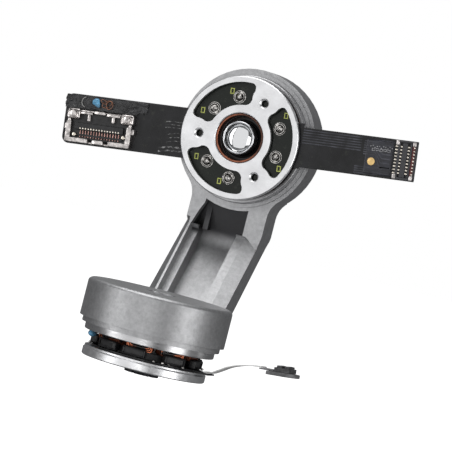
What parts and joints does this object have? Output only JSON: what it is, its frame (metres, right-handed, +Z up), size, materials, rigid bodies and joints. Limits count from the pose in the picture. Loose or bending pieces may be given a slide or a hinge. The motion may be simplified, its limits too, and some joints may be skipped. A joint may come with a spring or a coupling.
{
  "type": "camera gimbal",
  "caption": "Two-axis camera gimbal arm: pan motor base, inclined channel arm, roll motor with bright flange, black flex tails with connectors.",
  "frame": {"origin": "on the pan axis, in the plane of the pan base plate's outer face", "axes": "+Z up along the pan axis from the base plate into the pan motor; -Y towards the camera side, out of the roll flange; +X to the right seen from the camera side"},
  "size_m": [0.0528, 0.0336, 0.0446],
  "materials": {
    "anodised_grey": "satin grey anodised, bead-blasted",
    "machined_aluminium": "bright machined, fine turning marks",
    "rotor_steel": "turned bright steel",
    "bearing_steel": "ground steel",
    "polished_steel": "mirror polished",
    "dark_steel": "blackened, semi-matt",
    "magnet_nickel": "nickel-plated magnet",
    "coated_lamination": "black epoxy-coated lamination",
    "copper_winding": "enamelled copper wire",
    "bronze": "bronze",
    "black_seal": "black seal",
    "black_film": "black coverlay film, satin",
    "pale_film": "pale silver shield film",
    "stiffener_grey": "grey stiffener laminate",
    "solder": "tin solder",
    "nickel_shell": "nickel-plated sheet, slightly warm",
    "black_plastic": "black moulded plastic",
    "gold_contact": "gold flash plating"
  },
  "bodies": {
    "pan_base": {"pan_base_plate": "machined_aluminium", "pan_hub_cap": "dark_steel", "pan_bearing_front": "bearing_steel", "pan_bearing_rear": "bearing_steel", "pan_termination_board": "black_film", "pan_stator_core": "coated_lamination", "pan_coil_1": "copper_winding", "pan_coil_2": "copper_winding", "pan_coil_3": "copper_winding", "pan_coil_4": "copper_winding", "pan_coil_5": "copper_winding", "pan_coil_6": "copper_winding", "pan_coil_7": "copper_winding", "pan_coil_8": "copper_winding", "pan_coil_9": "copper_winding", "pan_tail_flex": "pale_film", "pan_tail_stiffener": "stiffener_grey", "pan_tail_board": "stiffener_grey", "pan_tail_plug": "black_plastic"},
    "arm": {"arm_frame": "anodised_grey", "pan_rotor_ring": "rotor_steel", "pan_magnet_ring": "magnet_nickel", "pan_shaft": "bearing_steel", "roll_rotor_ring": "rotor_steel", "roll_magnet_ring": "magnet_nickel", "roll_shaft": "polished_steel", "roll_bearing_inner_ring": "bearing_steel"},
    "roll_head": {"roll_flange": "machined_aluminium", "roll_bronze_liner": "bronze", "roll_bearing_front": "black_seal", "roll_bearing_rear": "bearing_steel", "roll_flex_circuit": "black_film", "left_tail_stiffener": "stiffener_grey", "right_tail_stiffener": "stiffener_grey", "roll_solder_post_1": "solder", "roll_solder_post_2": "solder", "roll_solder_post_3": "solder", "roll_solder_post_4": "solder", "roll_solder_post_5": "solder", "roll_solder_post_6": "solder", "coax_connector_shell": "nickel_shell", "coax_connector_insulator": "black_plastic", "coax_contact_comb": "gold_contact", "board_connector_housing": "black_plastic", "board_connector_contacts_a": "gold_contact", "board_connector_contacts_b": "gold_contact", "right_tail_test_pad": "gold_contact", "roll_stator_core": "coated_lamination", "roll_coil_1": "copper_winding", "roll_coil_2": "copper_winding", "roll_coil_3": "copper_winding", "roll_coil_4": "copper_winding", "roll_coil_5": "copper_winding", "roll_coil_6": "copper_winding", "roll_coil_7": "copper_winding", "roll_coil_8": "copper_winding", "roll_coil_9": "copper_winding"}
  },
  "joints": [
    {"name": "pan", "type": "hinge", "parent": "pan_base", "child": "arm", "pos_m": [0, 0, 0], "axis": [0, 0, 1], "range_deg": [-30, 30]},
    {"name": "roll", "type": "hinge", "parent": "arm", "child": "roll_head", "pos_m": [0, 0.01545, 0.03355], "axis": [0, -1, 0], "range_deg": [-45, 45]}
  ]
}
